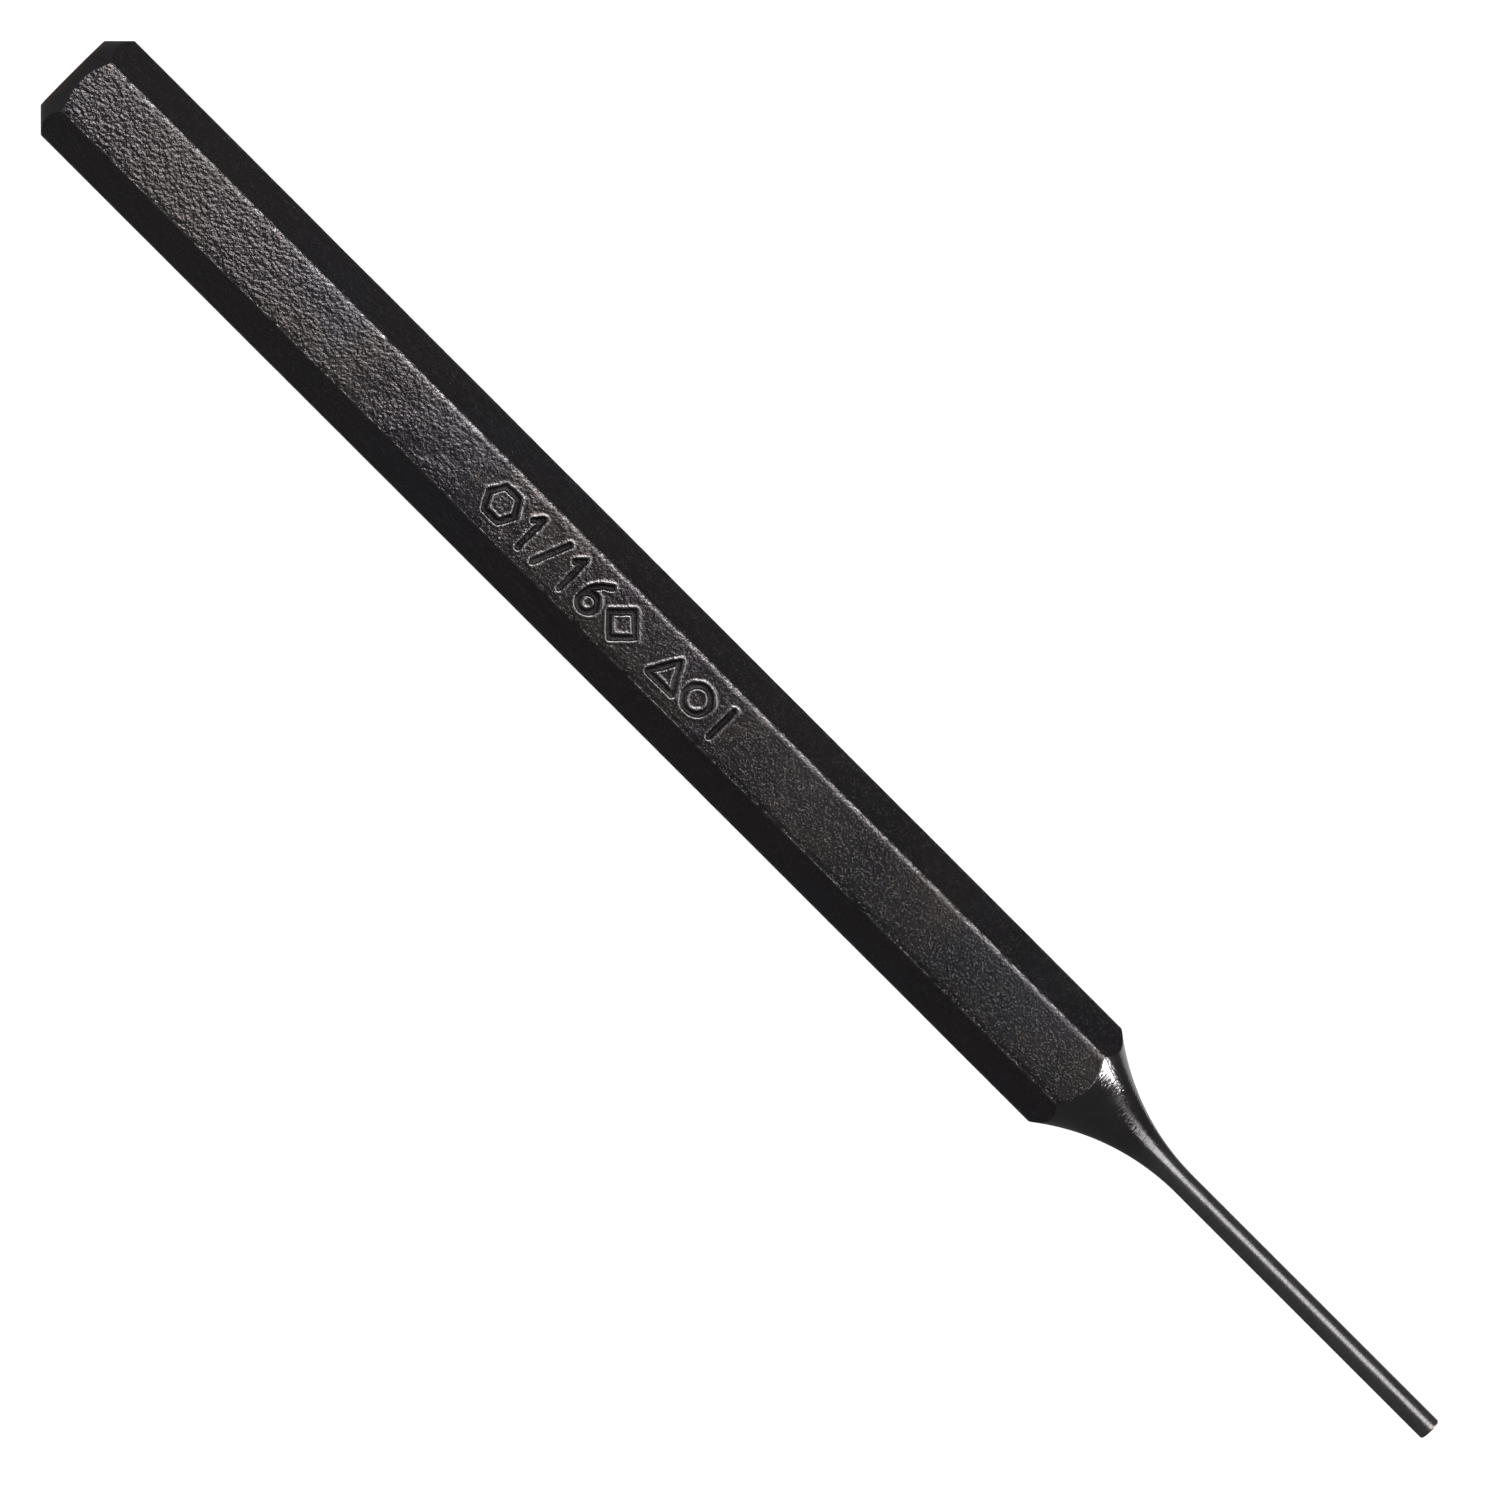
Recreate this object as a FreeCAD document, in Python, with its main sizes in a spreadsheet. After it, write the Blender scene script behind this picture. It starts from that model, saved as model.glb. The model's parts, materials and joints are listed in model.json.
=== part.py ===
import FreeCAD, Part
import math
import os

import Sketcher

# A pin punch, turned and ground from one length of hexagonal tool-steel bar.
# It lies along X on one flat of the hexagon: striking end at -X, pin at +X.
# The origin is under the middle of the tool, on the surface that it lies on.

NODE = "pin_punch"

DIMENSIONS = [
    ("across_flats", 6.35, "hexagonal bar, 1/4 in"),
    ("corner_radius", 0.15, "rolled corners of the bar"),
    ("overall_length", 105.9, "striking end to tip"),
    ("head_chamfer", 1.2, "turned at 45 degrees, measured in from the bar's sharp corners"),
    ("pin_diameter", 1.37, "1/16 in size, ground under it so that it can follow a pin through"),
    ("pin_length", 19.4, "straight part, from the cove to the tip"),
    ("cove_radius", 14.0, "concave shoulder that runs from the bar into the pin"),
    ("tip_edge_radius", 0.12, "edge of the tip, broken on a stone"),
    ("run_out", 1.0, "how far the cutting profiles reach past the steel"),
]


def make_sheet(doc):
    """The driving dimensions, one row each: name, value, what it is."""
    sheet = doc.addObject("Spreadsheet::Sheet", "dims")
    for row, (alias, value, note) in enumerate(DIMENSIONS, start=1):
        sheet.set("A%d" % row, alias)
        sheet.set("B%d" % row, str(value))
        sheet.set("C%d" % row, note)
        sheet.setAlias("B%d" % row, alias)
    doc.recompute()
    return sheet


def new_sketch(body, name, role):
    """An empty sketch, flat on one of the body's own origin planes."""
    sketch = body.newObject("Sketcher::SketchObject", name)
    plane = next(f for f in body.Origin.OriginFeatures if f.Role == role)
    sketch.AttachmentSupport = [(plane, "")]
    sketch.MapMode = "FlatFace"
    return sketch


def chain(sketch, edges):
    """Joins each edge's end to the start of the next."""
    for here, after in zip(edges, edges[1:]):
        sketch.addConstraint(Sketcher.Constraint("Coincident", here, 2, after, 1))


def drive(sketch, constraint, name, expression):
    """Adds a named dimension and binds it to the sheet."""
    index = sketch.addConstraint(constraint)
    sketch.renameConstraint(index, name)
    sketch.setExpression("Constraints." + name, expression)


def pad_bar(doc, body, sheet):
    """The hexagonal bar at full length, with one flat on top and one below."""
    sketch = new_sketch(body, "bar_section", "YZ_Plane")
    corner_r = sheet.across_flats / 2 / math.cos(math.pi / 6)
    corners = [
        FreeCAD.Vector(corner_r * math.cos(turn), corner_r * math.sin(turn), 0)
        for turn in (math.radians(60 * n) for n in range(6))
    ]
    sides = [
        sketch.addGeometry(Part.LineSegment(p, q), False)
        for p, q in zip(corners, corners[1:] + corners[:1])
    ]
    chain(sketch, sides + sides[:1])
    circle = Part.Circle(FreeCAD.Vector(0, 0, 0), FreeCAD.Vector(0, 0, 1), corner_r)
    ring = sketch.addGeometry(circle, True)
    sketch.addConstraint(Sketcher.Constraint("Coincident", ring, 3, -1, 1))
    for side in sides:
        sketch.addConstraint(Sketcher.Constraint("PointOnObject", side, 1, ring))
    for side in sides[1:]:
        sketch.addConstraint(Sketcher.Constraint("Equal", sides[0], side))
    sketch.addConstraint(Sketcher.Constraint("PointOnObject", sides[0], 1, -1))
    drive(sketch, Sketcher.Constraint("Diameter", ring, 2 * corner_r), "across_corners",
          "dims.across_flats / cos(30 deg)")

    bar = body.newObject("PartDesign::Pad", "bar")
    bar.Profile = sketch
    bar.setExpression("Length", "dims.overall_length")
    doc.recompute()


def round_edges(doc, body, name, is_wanted, alias):
    """Rounds the edges of the body's last feature that pass the test."""
    base = body.Tip
    edges = [
        "Edge%d" % number
        for number, edge in enumerate(base.Shape.Edges, start=1)
        if is_wanted(edge)
    ]
    fillet = body.newObject("PartDesign::Fillet", name)
    fillet.Base = (base, edges)
    fillet.setExpression("Radius", "dims." + alias)
    doc.recompute()
    if fillet.Shape.Volume >= base.Shape.Volume:
        raise RuntimeError(name + " rounded nothing")


def turn_away(doc, body, sketch, name):
    """Cuts a profile away all round the tool's axis, and checks that it cut."""
    base = body.Tip
    cut = body.newObject("PartDesign::Groove", name)
    cut.Profile = sketch
    cut.ReferenceAxis = (sketch, ["H_Axis"])
    cut.Angle = 360
    doc.recompute()
    if cut.Shape.isNull() or cut.Shape.Volume >= base.Shape.Volume:
        raise RuntimeError(name + " removed nothing")


def turn_head_chamfer(doc, body, sheet):
    """The striking end's 45 degree chamfer: a cone, so it scallops the six flats."""
    sketch = new_sketch(body, "head_chamfer_profile", "XZ_Plane")
    face_r = sheet.across_flats / 2 / math.cos(math.pi / 6) - sheet.head_chamfer
    reach = sheet.head_chamfer + sheet.run_out
    low = FreeCAD.Vector(-sheet.run_out, face_r - sheet.run_out, 0)
    high = FreeCAD.Vector(reach, face_r + reach, 0)
    outside = FreeCAD.Vector(low.x, high.y, 0)
    slope = sketch.addGeometry(Part.LineSegment(low, high), False)
    top = sketch.addGeometry(Part.LineSegment(high, outside), False)
    front = sketch.addGeometry(Part.LineSegment(outside, low), False)
    chain(sketch, [slope, top, front, slope])
    sketch.addConstraint(Sketcher.Constraint("Horizontal", top))
    sketch.addConstraint(Sketcher.Constraint("Vertical", front))
    sketch.addConstraint(Sketcher.Constraint("Equal", top, front))
    drive(sketch, Sketcher.Constraint("DistanceX", slope, 1, -1, 1, sheet.run_out), "run_out",
          "dims.run_out")
    drive(sketch, Sketcher.Constraint("DistanceX", slope, 1, slope, 2, high.x - low.x), "width",
          "dims.head_chamfer + 2 * dims.run_out")
    drive(sketch, Sketcher.Constraint("DistanceY", -1, 1, slope, 1, low.y), "inner_radius",
          "dims.across_flats / 2 / cos(30 deg) - dims.head_chamfer - dims.run_out")
    turn_away(doc, body, sketch, "head_chamfer")


def grind_cove_and_pin(doc, body, sheet):
    """The shoulder and the pin in one profile: an arc that runs into a straight line."""
    sketch = new_sketch(body, "cove_and_pin_profile", "XZ_Plane")
    pin_r = sheet.pin_diameter / 2
    outer_r = sheet.across_flats / 2 / math.cos(math.pi / 6) + sheet.run_out
    end_x = sheet.overall_length + sheet.run_out
    root = FreeCAD.Vector(sheet.overall_length - sheet.pin_length, pin_r, 0)
    centre = FreeCAD.Vector(root.x, pin_r + sheet.cove_radius, 0)
    entry_y = outer_r - centre.y
    entry_x = -math.sqrt(sheet.cove_radius ** 2 - entry_y ** 2)
    entry = centre + FreeCAD.Vector(entry_x, entry_y, 0)
    low_end = FreeCAD.Vector(end_x, pin_r, 0)
    high_end = FreeCAD.Vector(end_x, outer_r, 0)

    circle = Part.Circle(centre, FreeCAD.Vector(0, 0, 1), sheet.cove_radius)
    arc = Part.ArcOfCircle(circle, math.atan2(entry_y, entry_x), -math.pi / 2)
    cove = sketch.addGeometry(arc, False)
    pin = sketch.addGeometry(Part.LineSegment(root, low_end), False)
    end = sketch.addGeometry(Part.LineSegment(low_end, high_end), False)
    top = sketch.addGeometry(Part.LineSegment(high_end, entry), False)
    chain(sketch, [pin, end, top, cove])
    sketch.addConstraint(Sketcher.Constraint("Tangent", cove, 2, pin, 1))
    sketch.addConstraint(Sketcher.Constraint("Horizontal", pin))
    sketch.addConstraint(Sketcher.Constraint("Vertical", end))
    sketch.addConstraint(Sketcher.Constraint("Horizontal", top))
    drive(sketch, Sketcher.Constraint("Radius", cove, sheet.cove_radius), "cove_radius",
          "dims.cove_radius")
    drive(sketch, Sketcher.Constraint("DistanceY", -1, 1, pin, 1, pin_r), "pin_radius",
          "dims.pin_diameter / 2")
    drive(sketch, Sketcher.Constraint("DistanceX", -1, 1, pin, 1, root.x), "pin_root",
          "dims.overall_length - dims.pin_length")
    drive(sketch, Sketcher.Constraint("DistanceX", -1, 1, pin, 2, end_x), "end",
          "dims.overall_length + dims.run_out")
    drive(sketch, Sketcher.Constraint("DistanceY", -1, 1, end, 2, outer_r), "outer_radius",
          "dims.across_flats / 2 / cos(30 deg) + dims.run_out")
    turn_away(doc, body, sketch, "cove_and_pin")


def runs_along_x(edge):
    """True for an edge that runs the length of the bar."""
    run = edge.Vertexes[-1].Point - edge.Vertexes[0].Point
    return run.Length > 0 and abs(run.x) > 0.99 * run.Length


def make_punch(doc, sheet):
    """The whole tool, in the order that it is made on a bench."""
    body = doc.addObject("PartDesign::Body", NODE)
    body.Label = NODE
    pad_bar(doc, body, sheet)
    round_edges(doc, body, "bar_corners", runs_along_x, "corner_radius")
    turn_head_chamfer(doc, body, sheet)
    grind_cove_and_pin(doc, body, sheet)
    tip_x = sheet.overall_length
    round_edges(doc, body, "tip_edge", lambda edge: edge.BoundBox.XMin > tip_x - 0.001,
                "tip_edge_radius")
    body.setExpression(".Placement.Base.x", "-dims.overall_length / 2")
    body.setExpression(".Placement.Base.z", "dims.across_flats / 2")
    doc.recompute()
    return body


def check(doc, body):
    """Stops before anything is written if any object or shape isn't sound."""
    for item in doc.Objects:
        if "Invalid" in item.State or "Error" in item.State:
            raise RuntimeError("%s failed: %s" % (item.Name, item.State))
        if item.isDerivedFrom("Sketcher::SketchObject") and item.solve() != 0:
            raise RuntimeError("%s does not solve" % item.Name)
    shape = body.Shape
    if shape.isNull() or not shape.isValid() or len(shape.Solids) != 1:
        raise RuntimeError(body.Label + " is not one valid solid")


def main():
    os.makedirs("parts", exist_ok=True)
    doc = FreeCAD.newDocument("pin_punch")
    sheet = make_sheet(doc)
    body = make_punch(doc, sheet)
    check(doc, body)
    body.Shape.exportStep("parts/%s.step" % body.Label)
    print("%s: %.1f mm3" % (body.Label, body.Shape.Volume))


main()
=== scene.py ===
import json
import math

import bpy
import numpy as np
from mathutils import Matrix, Vector, noise


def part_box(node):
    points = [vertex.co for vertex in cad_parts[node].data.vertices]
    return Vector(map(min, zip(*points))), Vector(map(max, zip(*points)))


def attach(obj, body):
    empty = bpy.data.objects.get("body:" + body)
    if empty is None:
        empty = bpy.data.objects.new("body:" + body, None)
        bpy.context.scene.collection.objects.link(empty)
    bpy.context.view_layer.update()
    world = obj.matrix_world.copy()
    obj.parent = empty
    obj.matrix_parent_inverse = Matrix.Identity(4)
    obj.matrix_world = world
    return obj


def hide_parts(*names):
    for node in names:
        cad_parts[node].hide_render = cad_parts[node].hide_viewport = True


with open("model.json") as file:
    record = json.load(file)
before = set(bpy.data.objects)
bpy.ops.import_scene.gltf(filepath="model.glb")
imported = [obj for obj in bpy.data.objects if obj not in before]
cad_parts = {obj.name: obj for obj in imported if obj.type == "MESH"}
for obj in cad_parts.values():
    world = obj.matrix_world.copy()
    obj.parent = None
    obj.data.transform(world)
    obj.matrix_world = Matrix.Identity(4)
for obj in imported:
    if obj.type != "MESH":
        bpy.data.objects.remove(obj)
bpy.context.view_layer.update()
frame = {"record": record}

# A pin punch lies along X on one flat of its hexagon: striking end at -X, pin at +X.
# Sizes are in millimetres, and become metres when an object is made.
mm = 0.001


# a long lens high over the striking end, so that the pin leans away a little
camera = {
    "lens": 243.6,                   # on a 36 mm sensor
    "clip": (0.01, 20.0),            # nearest and furthest that it sees, in metres
    "place": (-44.1, 0.0, 559.7),
    "lookAt": (-0.5, 0.0, 3.2),
    "turn": 44.9,                    # degrees, so the tool runs from top left to bottom right
}


def aimed(place, target, turn=0.0):
    # looks along -Z from place to target, with +X level and turned this many degrees from the tool
    forward = (Vector(target) - Vector(place)).normalized()
    level = Vector((math.cos(math.radians(turn)), math.sin(math.radians(turn)), 0))
    right = (level - forward * level.dot(forward)).normalized()
    up = right.cross(forward)
    pose = Matrix((right, up, -forward)).transposed().to_4x4()
    return Matrix.Translation(Vector(place) * mm) @ pose


def makeCamera():
    data = bpy.data.cameras.new("camera")
    data.lens = camera["lens"]
    data.clip_start, data.clip_end = camera["clip"]
    eye = bpy.data.objects.new("camera", data)
    bpy.context.collection.objects.link(eye)
    eye.matrix_world = aimed(camera["place"], camera["lookAt"], camera["turn"])
    bpy.context.scene.camera = eye
    print("camera placed")


# shader maths: a Wire is one socket, and sums of wires add their own Math nodes
def byMaths(operation, swapped=False):
    def apply(self, other):
        pair = (other, self) if swapped else (self, other)
        return self.shop.maths(operation, *pair)
    return apply


class Wire:
    def __init__(self, shop, socket):
        self.shop = shop
        self.socket = socket

    __add__ = byMaths("ADD")
    __radd__ = byMaths("ADD", swapped=True)
    __sub__ = byMaths("SUBTRACT")
    __rsub__ = byMaths("SUBTRACT", swapped=True)
    __mul__ = byMaths("MULTIPLY")
    __rmul__ = byMaths("MULTIPLY", swapped=True)
    __pow__ = byMaths("POWER")


class Shop:
    # makes one node material
    def __init__(self, name):
        self.material = bpy.data.materials.new(name)
        self.material.use_nodes = True
        self.tree = self.material.node_tree
        self.tree.nodes.clear()

    def add(self, kind, settings=None, values=None, out=0):
        node = self.tree.nodes.new("ShaderNode" + kind)
        for name, setting in (settings or {}).items():
            setattr(node, name, setting)
        for key, value in (values or {}).items():
            if isinstance(value, Wire):
                self.tree.links.new(value.socket, node.inputs[key])
            else:
                node.inputs[key].default_value = value
        return Wire(self, node.outputs[out] if node.outputs else None)

    def maths(self, operation, *values, clamp=False):
        settings = {"operation": operation, "use_clamp": clamp}
        return self.add("Math", settings, dict(enumerate(values)))

    def between(self, value, low, high, fromValue=0.0, toValue=1.0):
        # a smooth step: fromValue up to low, toValue past high
        values = {"Value": value, "From Min": low, "From Max": high,
                  "To Min": fromValue, "To Max": toValue}
        return self.add("MapRange", {"interpolation_type": "SMOOTHSTEP"}, values)

    def tint(self, share, first, second):
        # a colour between two, each one a wire or three numbers
        colours = [c if isinstance(c, Wire) else (*c, 1) for c in (first, second)]
        values = {0: share, 6: colours[0], 7: colours[1]}
        return self.add("Mix", {"data_type": "RGBA"}, values, out=2)

    def place(self):
        # the piece's own coordinates, in millimetres
        own = self.add("TexCoord", out="Object")
        return self.add("VectorMath", {"operation": "SCALE"}, {0: own, "Scale": 1 / mm})

    def axis(self, place, letter):
        return self.add("SeparateXYZ", values={0: place}, out=letter)

    def turned(self, place, degrees):
        # turned about Z
        values = {"Vector": place, "Angle": -math.radians(degrees)}
        return self.add("VectorRotate", {"rotation_type": "Z_AXIS"}, values)

    def stretched(self, place, scales):
        return self.add("VectorMath", {"operation": "MULTIPLY"}, {0: place, 1: scales})

    def cloud(self, place, size, detail=2.0, roughness=0.5):
        # noise from 0 to 1 whose blobs are about this many millimetres apart
        values = {"Vector": place, "Scale": 1 / size, "Detail": detail, "Roughness": roughness}
        return self.add("TexNoise", values=values)

    def patches(self, place, size, detail, low, high, fromValue=0.0, toValue=1.0):
        # a cloud hardened into patches: none where it is under low, all where it is over high
        return self.between(self.cloud(place, size, detail), low, high, fromValue, toValue)

    def streaks(self, place, along, across, detail):
        # a cloud with this many blobs to a millimetre along the tool, and across it
        return self.cloud(self.stretched(place, (along, across, across)), 1.0, detail)

    def attribute(self, name):
        return self.add("Attribute", {"attribute_name": name}, out="Fac")

    def finish(self, values):
        surface = self.add("BsdfPrincipled", values=values)
        self.add("OutputMaterial", values={"Surface": surface})
        return self.material

    def steel(self, colour, roughness, height):
        # bare or blackened metal, with its relief's height in millimetres
        relief = self.add("Bump", values={"Height": height, "Distance": mm, "Strength": 1.0})
        return self.finish({"Base Color": colour, "Metallic": 1.0, "Roughness": roughness,
                            "Normal": relief})


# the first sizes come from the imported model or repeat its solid's, and the rest are wear and finish
lowest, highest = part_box("pin_punch")
tipPin = next(m for m in frame["record"]["mounts"] if m["name"] == "tip_pin")
tipEdge = 0.12                       # how far the edge of the pin's end is rounded
punch = {
    "length": (highest.x - lowest.x) / mm,
    "acrossFlats": (highest.z - lowest.z) / mm,
    "pinRadius": tipPin["dims"]["r_mm"],
    "pinLength": tipPin["dims"]["length_mm"] + tipEdge,
    "coveRadius": 14.0,
    "headChamfer": 1.2,
    "cornerRadius": 0.18,            # a little more than the solid's, because the corners are worn
    "cornerStart": 3.5,              # distance from the axis where a flat turns into a corner
    "cornerBlend": 0.12,
    "cornerWear": 0.008,             # depth of the nicks along the hexagon's corners
    "nickSize": 0.9,
    "nickShare": 0.15,               # more makes more nicks
    "crown": 0.014,                  # how far a flat falls from its middle to its corners
    "topShoulder": 0.018,            # how much further the top falls, close to its corners
    "sideShoulder": 0.006,           # the same for the other flats
    "shoulderWidth": 0.18,
    "topDrop": 0.042,                # the top lies this much low, so the stamp's rims stay in size
    "flare": 0.044,                  # how far the side flats lean out where they meet each other
    "waviness": 0.006,               # how far a rolled flat strays from a plane, always inwards
    "waveSize": 3.1,
    "edgeBreak": 0.05,               # how far the turned and ground edges are broken
    "raggedness": 0.05,              # how unevenly a turned or ground edge meets the rolled skin
    "raggedSize": 0.17,
    "faceEdge": 0.04,                # how far the striking face's own edge is broken
}
apothem = punch["acrossFlats"] / 2
faceRadius = apothem / math.cos(math.pi / 6) - punch["headChamfer"]
pinRoot = punch["length"] - punch["pinLength"]
flatEnd = (apothem - punch["cornerRadius"]) * math.tan(math.pi / 6)     # half of a flat's width

# a size and plain proof marks, stamped into the top flat and read from the striking end
mark = {
    "height": 2.15,
    "halfStroke": 0.2,
    "wall": 0.1,                     # width of a stroke's sloping side
    "depth": 0.1,
    "rim": 0.038,                    # metal that the stamp has pushed up beside each stroke
    "rimPlace": 0.05,                # how far outside the stroke that rim is highest
    "rimWidth": 0.08,
    "wander": 0.05,                  # how far a stroke's edges stray
    "wanderSize": 0.5,
    "strike": (0.9, 0.5),            # how hard the stamps struck, and how much that varies
    "strikeSize": 1.7,
    "across": -0.1,                  # middle of the marks, across the flat
    "grid": 0.058,                   # mesh size where the marks are
    "figures": (
        (33.1, "hexagon"), (35.3, "one"), (36.9, "slash"), (38.5, "one"), (40.2, "six"),
        (42.4, "diamond"), (46.1, "triangle"), (48.2, "ring"), (50.1, "bar"),
    ),
    "groups": ((31.8, 43.7), (44.8, 50.7)),
}


def polygon(corners, radius, turn=0.0):
    angles = [math.radians(turn) + n * 2 * math.pi / corners for n in range(corners + 1)]
    return [(radius * math.cos(a), radius * math.sin(a)) for a in angles]


def moved(points, x, y):
    return [(px + x, py + y) for px, py in points]


def figureStrokes():
    # each figure's strokes on a body that is 1 high, centred on 0
    bowl = polygon(16, 0.26)
    return {
        "one": [[(-0.16, 0.28), (0.02, 0.48), (0.02, -0.48)]],
        "slash": [[(-0.2, -0.48), (0.2, 0.48)]],
        "six": [moved(bowl, 0, -0.22), [(-0.26, -0.22), (-0.2, 0.1), (0.0, 0.36), (0.2, 0.48)]],
        "hexagon": [polygon(6, 0.46)],
        "diamond": [polygon(4, 0.46)],
        "triangle": [moved(polygon(3, 0.5, 90), 0, -0.12)],
        "ring": [polygon(20, 0.37)],
        "bar": [[(0, -0.44), (0, 0.44)]],
    }


def toStroke(x, y, start, end):
    # distance from points to one straight stroke
    run = np.array(end) - np.array(start)
    share = ((x - start[0]) * run[0] + (y - start[1]) * run[1]) / run.dot(run)
    share = np.clip(share, 0, 1)
    return np.hypot(x - start[0] - share * run[0], y - start[1] - share * run[1])


def toMarks(along, across):
    # distance from points on the top flat to the nearest stroke of any figure
    nearest = np.full(along.shape, punch["acrossFlats"])
    strokes = figureStrokes()
    for middle, name in mark["figures"]:
        x = (along - middle) / mark["height"]
        y = (across - mark["across"]) / mark["height"]
        for line in strokes[name]:
            for start, end in zip(line, line[1:]):
                nearest = np.minimum(nearest, toStroke(x, y, start, end) * mark["height"])
    return nearest


def roughly(along, around, size, seed):
    # smooth noise from about -1 to 1 over arrays of places, blobs this many millimetres apart
    flat = [noise.noise((x / size, y / size, seed)) for x, y in zip(along.ravel(), around.ravel())]
    return np.array(flat).reshape(along.shape)


def flatHeight(side, share):
    # how far a flat stands from the axis, at a share of the way from its middle to its end
    width = punch["shoulderWidth"]
    shoulder = punch["sideShoulder"] if side else punch["topShoulder"]
    beyond = max(0, flatEnd * abs(share) - flatEnd + width) / width
    fall = punch["crown"] * share ** 2 + shoulder * beyond ** 2
    outward = (-1, share, -share)[side % 3]      # 1 at the two corners that point sideways
    lean = punch["flare"] * (1 + outward) / 2
    return apothem - fall + lean - (0 if side else punch["topDrop"])


def facing(side):
    # the direction that a flat faces, and the direction across it, as (y, z)
    turn = side * math.pi / 3
    return np.array((math.sin(turn), math.cos(turn))), np.array((math.cos(turn), -math.sin(turn)))


def cornerArc(side, steps):
    # points from the end of one flat to the start of the next. Both heights are read at a share of 1,
    # so each side flat, which leans, starts with a step beside its corner, no deeper than the flare
    nudge = 0.001
    ends, runs = [], []
    for flat, end in ((side, 1), ((side + 1) % 6, -1)):
        out, along = facing(flat)
        high, inner = flatHeight(flat, 1), flatHeight(flat, 1 - nudge)
        ends.append(out * high + along * flatEnd * end)
        runs.append(along * flatEnd * end * nudge + out * (high - inner))
    reach = np.linalg.solve(np.transpose((runs[0], -runs[1])), ends[1] - ends[0])
    middle = ends[0] + runs[0] * reach[0]
    shares = [n / steps for n in range(1, steps)]
    return [(1 - t) ** 2 * ends[0] + 2 * t * (1 - t) * middle + t * t * ends[1] for t in shares]


def columnsRound():
    # angle from the top, distance from the axis, and which flat (-1 in a corner), all the way round
    topColumns, sideColumns, cornerSteps = 60, 10, 5
    columns = []
    for side in range(6):
        count = sideColumns if side else topColumns
        for n in range(count + 1):
            share = n / count * 2 - 1
            if side:
                share = math.sin(share * math.pi / 2)
            across, height = flatEnd * share, flatHeight(side, share)
            angle = side * math.pi / 3 + math.atan2(across, height)
            columns.append((angle, math.hypot(across, height), side))
        for y, z in cornerArc(side, cornerSteps):
            columns.append((math.atan2(y, z), math.hypot(y, z), -1))
    return [np.array(column) for column in zip(*columns)]


def softMin(a, b):
    # the smaller of two radii, with the edge where they cross a little broken
    softness = punch["edgeBreak"]
    near = np.clip(softness - np.abs(a - b), 0, None) / softness
    return np.minimum(a, b) - near * near * softness / 4


def headRadius(along):
    return faceRadius + along


def coveRadius(along):
    # far outside the bar at first, then the cove, then the pin
    reach = punch["coveRadius"]
    back = np.clip(pinRoot - along, 0, reach * 0.99)     # stops short of where the arc stands upright
    return punch["pinRadius"] + reach - np.sqrt(reach ** 2 - back ** 2)


def ragged(angle, seed):
    # a small uneven offset for each column
    return punch["raggedness"] * roughly(angle * apothem, 0 * angle, punch["raggedSize"], seed)


def barSurface(along, angle, bar):
    # the rolled bar's radius: wavy flats, worn corners, and both turned ends
    around = angle * apothem
    skin = bar - punch["waviness"] * (1 - roughly(along, around, punch["waveSize"], 1.7))
    corner = np.clip((bar - punch["cornerStart"]) / punch["cornerBlend"], 0, 1)
    nicks = roughly(along, around, punch["nickSize"], 8.3) + punch["nickShare"]
    skin = skin - punch["cornerWear"] * corner * np.clip(nicks, 0, 1)
    return softMin(softMin(skin, headRadius(along)), coveRadius(along))


def evenSteps(start, end, step):
    # places from start up to but not including end
    count = max(1, round((end - start) / step))
    return [start + (end - start) * n / count for n in range(count)]


def shankRows(headCrease, coveCrease):
    # rows that follow both scalloped creases and are straight in between
    near = (0, 0.025, 0.05, 0.09, 0.15, 0.24, 0.36, 0.52, 0.72, 0.96)     # closest beside a crease
    settled = 3.0                    # where rows have become straight
    coarse = 0.33
    headAt, coveAt = headCrease.min(), coveCrease.max()
    places = [headAt + off for off in near]
    last = headAt + near[-1] + coarse
    for start, end in mark["groups"]:
        places += evenSteps(last, start, coarse) + evenSteps(start, end, mark["grid"])
        last = end
    places += evenSteps(last, coveAt - near[-1], coarse)
    places += [coveAt - off for off in reversed(near)]
    rows = []
    for place in places:
        headShare = max(0, 1 - (place - headAt) / settled) ** 2
        coveShare = max(0, 1 - (coveAt - place) / settled) ** 2
        rows.append(place + headShare * (headCrease - headAt) + coveShare * (coveCrease - coveAt))
    return rows


def headRows(bar, headCrease):
    # the striking face in rings, its edge, and the chamfer up to the bar
    soft, faceEdge = punch["edgeBreak"], punch["faceEdge"]
    same = np.ones_like(bar)
    rows = [(0 * same, faceRadius * share * same) for share in (0.1, 0.25, 0.42, 0.58, 0.72, 0.84, 0.93)]
    rows.append((0 * same, (faceRadius - faceEdge) * same))
    rows.append((0.2 * faceEdge * same, (faceRadius - 0.1 * faceEdge) * same))
    for share in (0, 0.2, 0.4, 0.6, 0.78, 0.92):
        along = faceEdge + share * (headCrease - soft - faceEdge)
        rows.append((along, headRadius(along)))
    for off in (-soft, -soft / 2):
        along = headCrease + off
        rows.append((along, softMin(bar, headRadius(along))))
    return rows


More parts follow.
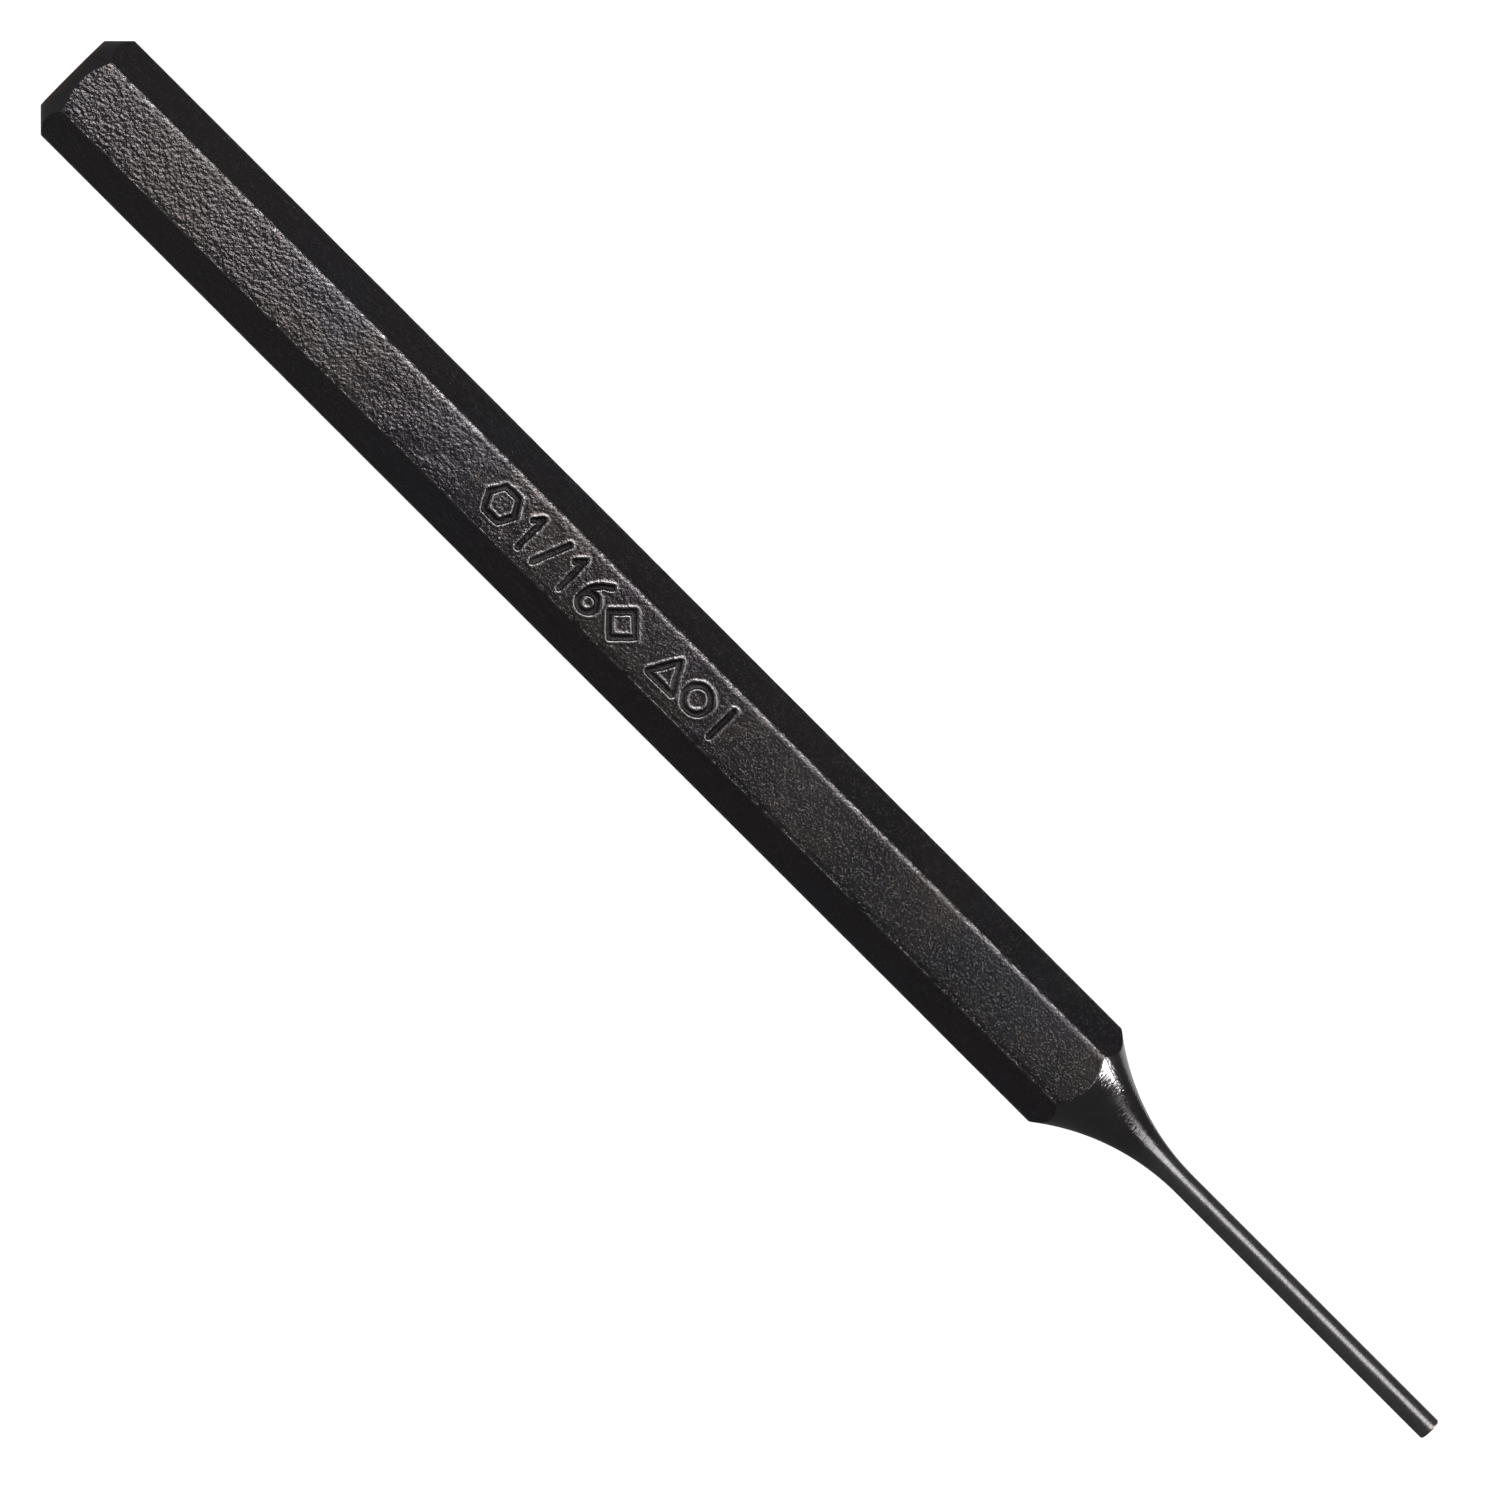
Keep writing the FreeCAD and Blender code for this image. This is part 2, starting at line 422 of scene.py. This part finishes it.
def pinRows(bar, coveCrease):
    # the cove from the bar on, then the pin, its rounded edge and its end face
    soft = punch["edgeBreak"]
    coveSteps, pinSteps, edgeSteps = 46, 60, 4
    same = np.ones_like(bar)
    rows = []
    for off in (soft / 2, soft):
        along = coveCrease + off
        rows.append((along, softMin(bar, coveRadius(along))))
    start = np.arcsin((pinRoot - coveCrease - 1.5 * soft) / punch["coveRadius"])
    for n in range(coveSteps):
        along = pinRoot - punch["coveRadius"] * np.sin(start * (1 - n / coveSteps))
        rows.append((along, softMin(bar, coveRadius(along))))
    straight = punch["pinLength"] - tipEdge
    for n in range(pinSteps):
        rows.append(((pinRoot + straight * n / pinSteps) * same, punch["pinRadius"] * same))
    for n in range(edgeSteps + 1):
        turn = n / edgeSteps * math.pi / 2
        along = punch["length"] - tipEdge + tipEdge * math.sin(turn)
        radius = punch["pinRadius"] - tipEdge + tipEdge * math.cos(turn)
        rows.append((along * same, radius * same))
    for share in (0.7, 0.35):
        rows.append((punch["length"] * same, (punch["pinRadius"] - tipEdge) * share * same))
    return rows


def buildRows(angle, bar):
    # every row's distance from the striking face and from the axis, and the finish of its faces
    headCrease = bar - faceRadius
    reach = punch["pinRadius"] + punch["coveRadius"] - bar
    coveCrease = pinRoot - np.sqrt(punch["coveRadius"] ** 2 - reach ** 2)
    creases = headCrease + ragged(angle, 5.1), coveCrease + ragged(angle, 9.7)
    shank = [(along, barSurface(along, angle, bar)) for along in shankRows(*creases)]

    rows = [(*row, "turned") for row in headRows(bar, headCrease)]
    rows += [(*row, "rolled") for row in shank[:-1]]
    rows += [(*row, "ground") for row in shank[-1:] + pinRows(bar, coveCrease)]
    return rows


def stampTop(along, across):
    # how far the marks move the top flat's surface, then how deep and how raised each place is
    away = toMarks(along, across) + mark["wander"] * roughly(along, across, mark["wanderSize"], 6.2)
    strike, variation = mark["strike"]
    uneven = strike + variation * roughly(along, across, mark["strikeSize"], 3.3)
    inside = np.clip((mark["halfStroke"] - away) / mark["wall"], 0, 1)
    inside = inside * inside * (3 - 2 * inside)
    beside = np.exp(-((away - mark["halfStroke"] - mark["rimPlace"]) / mark["rimWidth"]) ** 2)
    return uneven * (mark["rim"] * beside - mark["depth"] * inside), inside * uneven, beside


def punchPoints(rows, angle, side):
    # all points, with the middles of the two ends last, then how deep in a stroke and how high on
    # its rim each of the others lies
    along, radius, finish = [np.array(part) for part in zip(*rows)]
    y = radius * np.sin(angle)
    z = radius * np.cos(angle)
    groove = np.zeros_like(radius)
    rim = np.zeros_like(radius)
    top = np.ix_(finish == "rolled", side == 0)
    lift, groove[top], rim[top] = stampTop(along[top], y[top])
    z[top] += lift

    half = punch["length"] / 2
    body = np.stack([along - half, y, z + apothem], -1).reshape(-1, 3)
    return np.vstack([body, [(-half, 0, apothem), (half, 0, apothem)]]) * mm, groove, rim


def punchFaces(rows, count):
    # four-sided faces between rows, then a fan that closes each end, and the finish of every face
    faces, finishes = [], []
    for row in range(len(rows) - 1):
        low, high = row * count, (row + 1) * count
        for column in range(count):
            after = (column + 1) % count
            faces.append((low + column, low + after, high + after, high + column))
            finishes.append(rows[row][2])
    lastRow, headEnd, tipEnd = (len(rows) - 1) * count, len(rows) * count, len(rows) * count + 1
    for column in range(count):
        after = (column + 1) % count
        faces.append((headEnd, after, column))
        faces.append((tipEnd, lastRow + column, lastRow + after))
        finishes += ["turned", "ground"]
    return faces, finishes


def makePunch(materials):
    angle, bar, side = columnsRound()
    rows = buildRows(angle, bar)
    points, groove, rim = punchPoints(rows, angle, side)
    faces, finishes = punchFaces(rows, len(angle))

    mesh = bpy.data.meshes.new("punch")
    mesh.from_pydata(points.tolist(), [], faces)
    for material in materials.values():
        mesh.materials.append(material)
    names = list(materials)
    mesh.polygons.foreach_set("material_index", [names.index(finish) for finish in finishes])
    mesh.polygons.foreach_set("use_smooth", [True] * len(faces))
    for name, values in (("groove", groove), ("rim", rim)):
        made = mesh.attributes.new(name, "FLOAT", "POINT")
        made.data.foreach_set("value", np.append(values.ravel(), (0.0, 0.0)))
    mesh.validate()
    piece = bpy.data.objects.new("punch", mesh)
    bpy.context.collection.objects.link(piece)
    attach(piece, "root")
    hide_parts("pin_punch")
    print("punch made:", len(points), "points,", len(faces), "faces")


def fromAxis(shop, place):
    # distance from the tool's own axis
    y = shop.axis(place, "Y")
    z = shop.axis(place, "Z") - apothem
    return (y * y + z * z) ** 0.5


# black oxide over the rolled bar's pebbled skin
rolled = {
    "fade": (-46.0, 16.0),           # along X, where the grain starts to fade and where it has
    "grain": 0.195,                  # between pebbles
    "grainHeight": (0.08, 0.008),    # at the striking end, and at the shoulder
    "grainSoftness": 0.42,
    "grainTurn": 20,                 # degrees from the tool that the pebbles are drawn out
    "grainDraw": 0.9,
    "ripple": 0.62,                  # between longer waves under the pebbles
    "rippleShare": 0.5,
    "smoothShare": 0.6,              # how much lower the grain is in the smooth patches
    "smoothStart": (-42.0, -20.0),   # along X, where those patches come in
    "speck": 0.13,                   # between the finest bumps of the oxide
    "speckHeight": 0.013,
    "cornerSpecks": 1.5,             # how much higher they are along the corners
    "crystalHeight": 0.008,
    "crystalBare": 0.3,              # how much metal shows through on a crystal
    "roughness": (0.28, 0.26),       # at the striking end, and at the shoulder
    "blotch": 6.0,                   # between the oxide's broad changes of colour and gloss
    "blotchRoughness": 0.16,
    "grooveRoughness": 0.15,
    "colour": (0.094, 0.083, 0.09),
    "warm": (0.096, 0.084, 0.081),
    "cool": (0.089, 0.083, 0.093),
    "spot": (0.11, 0.088, 0.074),    # the oxide has browned here and there
    "spotShare": 0.6,
    # painted shade: the insides of the stamped strokes are coloured near black, darker than the oxide
    # around them
    "groove": (0.03, 0.028, 0.03),
    "bare": (0.305, 0.286, 0.286),
    "cornerBare": 0.85,              # how much metal shows through along the corners
    "cornerBlend": 0.1,
    "rimBare": 0.9,                  # the same on the rims of the marks
    "headBare": 0.08,                # and at the striking end
    "headBareLength": (-46.0, -5.0),
    # patches: millimetres apart, detail, and the noise levels where one starts and is full
    "smoothPatches": (1.7, 2.0, 0.4, 0.64),
    "crystals": (0.11, 0.0, 0.62, 0.74),
    "crystalDrift": (0.7, 2.0, 0.38, 0.62, 0.4, 1.5),    # with the fewest and the most crystals
    "coolPatches": (9.0, 2.0, 0.5, 0.66),
    "rubbed": (0.5, 4.0, 0.38, 0.58),
    "spots": (0.8, 3.0, 0.62, 0.7),
    "warmLevels": (0.42, 0.62),
}


def rolledRelief(shop, place, corner, crystals):
    # the skin's height: pebbles that fade towards the shoulder, then the oxide's own fine bumps
    x = shop.axis(place, "X")
    coarse = shop.between(x, *rolled["fade"], *rolled["grainHeight"])
    smooth = shop.patches(place, *rolled["smoothPatches"])
    coarse = coarse * (1 - smooth * shop.between(x, *rolled["smoothStart"], 0.0, rolled["smoothShare"]))
    drawn = shop.stretched(shop.turned(place, rolled["grainTurn"]), (rolled["grainDraw"], 1, 1))
    pebbles = shop.cloud(drawn, rolled["grain"], 2.0, rolled["grainSoftness"])
    ripples = shop.cloud(place, rolled["ripple"], 1.0)
    specks = shop.cloud(place, rolled["speck"], 1.0)
    fine = (specks + corner * specks * rolled["cornerSpecks"]) * rolled["speckHeight"]
    fine = fine + crystals * rolled["crystalHeight"]
    return (pebbles + ripples * rolled["rippleShare"]) * coarse + fine


def rolledMaterial():
    shop = Shop("rolled_black")
    place = shop.place()
    x = shop.axis(place, "X")
    start = punch["cornerStart"]
    corner = shop.between(fromAxis(shop, place), start, start + rolled["cornerBlend"])
    groove = shop.attribute("groove")
    rim = shop.attribute("rim")
    crystals = shop.patches(place, *rolled["crystals"]) * shop.patches(place, *rolled["crystalDrift"])
    height = rolledRelief(shop, place, corner, crystals)

    blotches = shop.cloud(place, rolled["blotch"], 3.0)
    colour = shop.tint(shop.between(blotches, *rolled["warmLevels"]), rolled["colour"], rolled["warm"])
    colour = shop.tint(shop.patches(place, *rolled["coolPatches"]), colour, rolled["cool"])
    spots = shop.patches(place, *rolled["spots"]) * rolled["spotShare"]
    colour = shop.tint(spots, colour, rolled["spot"])
    rubbed = shop.patches(place, *rolled["rubbed"])
    headBare = shop.between(x, *rolled["headBareLength"], rolled["headBare"], 0.0)
    bare = corner * rubbed * rolled["cornerBare"] + rim * rolled["rimBare"] + headBare
    bare = shop.maths("ADD", bare, crystals * (rolled["crystalBare"] + corner), clamp=True)
    colour = shop.tint(bare, colour, rolled["bare"])
    # painted shade: the stamped strokes are coloured near black, as far as they go deep
    colour = shop.tint(groove, colour, rolled["groove"])
    roughness = shop.between(x, *rolled["fade"], *rolled["roughness"])
    roughness = roughness + rolled["blotchRoughness"] * (blotches - 0.5)
    roughness = roughness + rolled["grooveRoughness"] * groove
    return shop.steel(colour, roughness, height)


# the striking face and its chamfer, turned and then blackened with the rest
machined = {
    "colour": (0.2, 0.187, 0.196),
    "roughness": 0.3,
    "rings": 7.0,                    # turning marks to a millimetre
    "ringHeight": 0.003,
    "grain": 0.4,
    "grainHeight": 0.004,
    "blotch": 1.6,
    "blotchRoughness": 0.25,
    "edge": (0.42, 0.28, 0.22),      # browned metal round the face's worn edge
    "edgeDepth": (0.02, 0.4),        # back from the face, where the wear starts to fade and is gone
    "edgeWidth": 0.1,                # how far in over the face it comes
    "edgeLevels": (0.3, 0.7),
}


def turnedMaterial():
    shop = Shop("turned_black")
    place = shop.place()
    x = shop.axis(place, "X") + punch["length"] / 2
    radius = fromAxis(shop, place)
    rings = shop.add("TexNoise", {"noise_dimensions": "1D"}, {
        "W": (radius + x) * machined["rings"], "Scale": 1.0, "Detail": 3.0, "Roughness": 0.7})
    grain = shop.cloud(place, machined["grain"])
    height = rings * machined["ringHeight"] + grain * machined["grainHeight"]
    blotches = shop.cloud(place, machined["blotch"], 4.0)
    wear = shop.between(x, *machined["edgeDepth"], 1.0, 0.0)
    wear = wear * shop.between(radius, faceRadius - machined["edgeWidth"], faceRadius)
    wear = wear * shop.between(blotches, *machined["edgeLevels"])
    colour = shop.tint(wear, machined["colour"], machined["edge"])
    roughness = machined["roughness"] + machined["blotchRoughness"] * (blotches - 0.5)
    return shop.steel(colour, roughness, height)


# the cove and the pin, ground bright and thinly blackened; where two values stand, the cove's is first
ground = {
    "blend": (-4.5, -0.5),           # from the pin's root, where one finish turns into the other
    "colour": (0.4, 0.39, 0.382),
    "dark": (0.178, 0.168, 0.174),   # where the oxide is thicker
    "pinShare": 0.75,                # how much brighter the pin is
    "roughness": (0.15, 0.24),
    # streaks: how many to a millimetre along the tool and across it, and detail
    "marks": (1 / 0.13, 1.8, 2.0),
    "marksHeight": (0.011, 0.006),
    "fineMarks": (1 / 0.06, 2.0, 1.0),
    "fineHeight": 0.005,
    "ticks": (1 / 0.1, 1.1, 2.0),    # the marks that the stone left dark
    "tickLevels": (0.46, 0.62),
    "tickShare": 0.45,
    "tickRoughness": 0.1,
    "blotches": (0.9, 2.5, 4.0),
    "blotchShare": 0.5,
    "blotchRoughness": 0.14,
    "pits": 0.15,                    # between them
    "pitHeight": (0.012, 0.003),
    "heat": (0.42, 0.27, 0.2),       # browned at the pin's end
    "heatLength": 0.4,
    "heatLevels": (0.45, 0.6),
    "heatShare": 0.6,
}


def groundMaterial():
    shop = Shop("ground_steel")
    place = shop.place()
    x = shop.axis(place, "X") + (punch["length"] / 2 - pinRoot)
    onPin = shop.between(x, *ground["blend"])
    marks = shop.streaks(place, *ground["marks"])
    depth = shop.between(x, *ground["blend"], *ground["marksHeight"])
    fine = shop.streaks(place, *ground["fineMarks"])
    pits = shop.cloud(place, ground["pits"], 1.0)
    pits = pits * shop.between(x, *ground["blend"], *ground["pitHeight"])
    height = marks * depth + fine * ground["fineHeight"] + pits

    blotches = shop.streaks(place, *ground["blotches"])
    bright = onPin * ground["pinShare"] + ground["blotchShare"] * (blotches - 0.5)
    colour = shop.tint(bright, ground["dark"], ground["colour"])
    ticks = shop.between(shop.streaks(place, *ground["ticks"]), *ground["tickLevels"])
    colour = shop.tint(ticks * ground["tickShare"], colour, ground["dark"])
    heat = shop.between(x, punch["pinLength"] - ground["heatLength"], punch["pinLength"])
    heat = heat * shop.between(blotches, *ground["heatLevels"]) * ground["heatShare"]
    colour = shop.tint(heat, colour, ground["heat"])
    roughness = shop.between(x, *ground["blend"], *ground["roughness"])
    roughness = roughness + ground["blotchRoughness"] * (blotches - 0.5)
    roughness = roughness + ground["tickRoughness"] * ticks * onPin
    return shop.steel(colour, roughness, height)


# softboxes: where each one stands, its size, and how bright it looks; all point at the punch's middle
softboxes = {
    "key": {"place": (-170, 270, 600), "size": (400, 150), "glow": 10.0},
    "strip": {"place": (300, 270, 530), "size": (400, 440), "glow": 2.0},
    "card": {"place": (364, 168, -16), "size": (140, 66), "glow": 15.0},
    "bounce": {"place": (90, 90, -220), "size": (170, 170), "glow": 0.55},
    "under": {"place": (-140, 420, -240), "size": (420, 240), "glow": 0.042},
    "left": {"place": (-450, -480, 240), "size": (420, 260), "glow": 0.9},
    "right": {"place": (500, 410, 330), "size": (300, 200), "glow": 0.5},
}
roomGlow = (0.09, 0.089, 0.092)


def makeLights():
    for name, box in softboxes.items():
        data = bpy.data.lights.new(name, "AREA")
        data.shape = "RECTANGLE"
        data.size, data.size_y = [side * mm for side in box["size"]]
        data.energy = box["glow"] * math.pi * data.size * data.size_y
        lamp = bpy.data.objects.new(name, data)
        bpy.context.collection.objects.link(lamp)
        lamp.matrix_world = aimed(box["place"], (0, 0, apothem))
        lamp.visible_camera = False
    world = bpy.data.worlds.new("room")
    world.use_nodes = True
    world.node_tree.nodes["Background"].inputs["Color"].default_value = (*roomGlow, 1)
    bpy.context.scene.world = world
    bpy.context.scene.view_settings.view_transform = "Standard"
    print("lights placed")


# a pale bench that curves up into a wall all round, and lets the lights below it through
stage = {
    "flat": 1500,
    "bend": 500,
    "wall": 1200,
    "sink": 0.02,                    # how far under the punch it lies
    "colour": (0.25, 0.25, 0.25, 1),
    "glow": 0.95,
}


def stageMaterial():
    shop = Shop("pale_bench")
    shop.material.cycles.emission_sampling = "NONE"
    return shop.finish({
        "Base Color": stage["colour"], "Roughness": 0.9, "Specular IOR Level": 0.0,
        "Emission Color": (1, 1, 1, 1), "Emission Strength": stage["glow"],
    })


def makeStage():
    segments, bendSteps = 64, 10
    profile = [(stage["flat"], 0)]
    for n in range(1, bendSteps + 1):
        turn = n / bendSteps * math.pi / 2
        profile.append((stage["flat"] + stage["bend"] * math.sin(turn),
                        stage["bend"] * (1 - math.cos(turn))))
    profile.append((profile[-1][0], profile[-1][1] + stage["wall"]))
    points = [(0, 0, -stage["sink"] * mm)]
    for radius, rise in profile:
        for n in range(segments):
            turn = n / segments * 2 * math.pi
            points.append((radius * math.cos(turn) * mm, radius * math.sin(turn) * mm,
                           (rise - stage["sink"]) * mm))
    faces = [(0, 1 + n, 1 + (n + 1) % segments) for n in range(segments)]
    for ring in range(len(profile) - 1):
        low, high = 1 + ring * segments, 1 + (ring + 1) * segments
        for n in range(segments):
            after = (n + 1) % segments
            faces.append((low + n, high + n, high + after, low + after))
    mesh = bpy.data.meshes.new("bench")
    mesh.from_pydata(points, [], faces)
    mesh.materials.append(stageMaterial())
    mesh.polygons.foreach_set("use_smooth", [True] * len(faces))
    bench = bpy.data.objects.new("bench", mesh)
    bpy.context.collection.objects.link(bench)
    bench.visible_glossy = False
    bench.visible_shadow = False
    print("bench made")


makeCamera()
makeStage()
makeLights()
makePunch({"rolled": rolledMaterial(), "turned": turnedMaterial(), "ground": groundMaterial()})
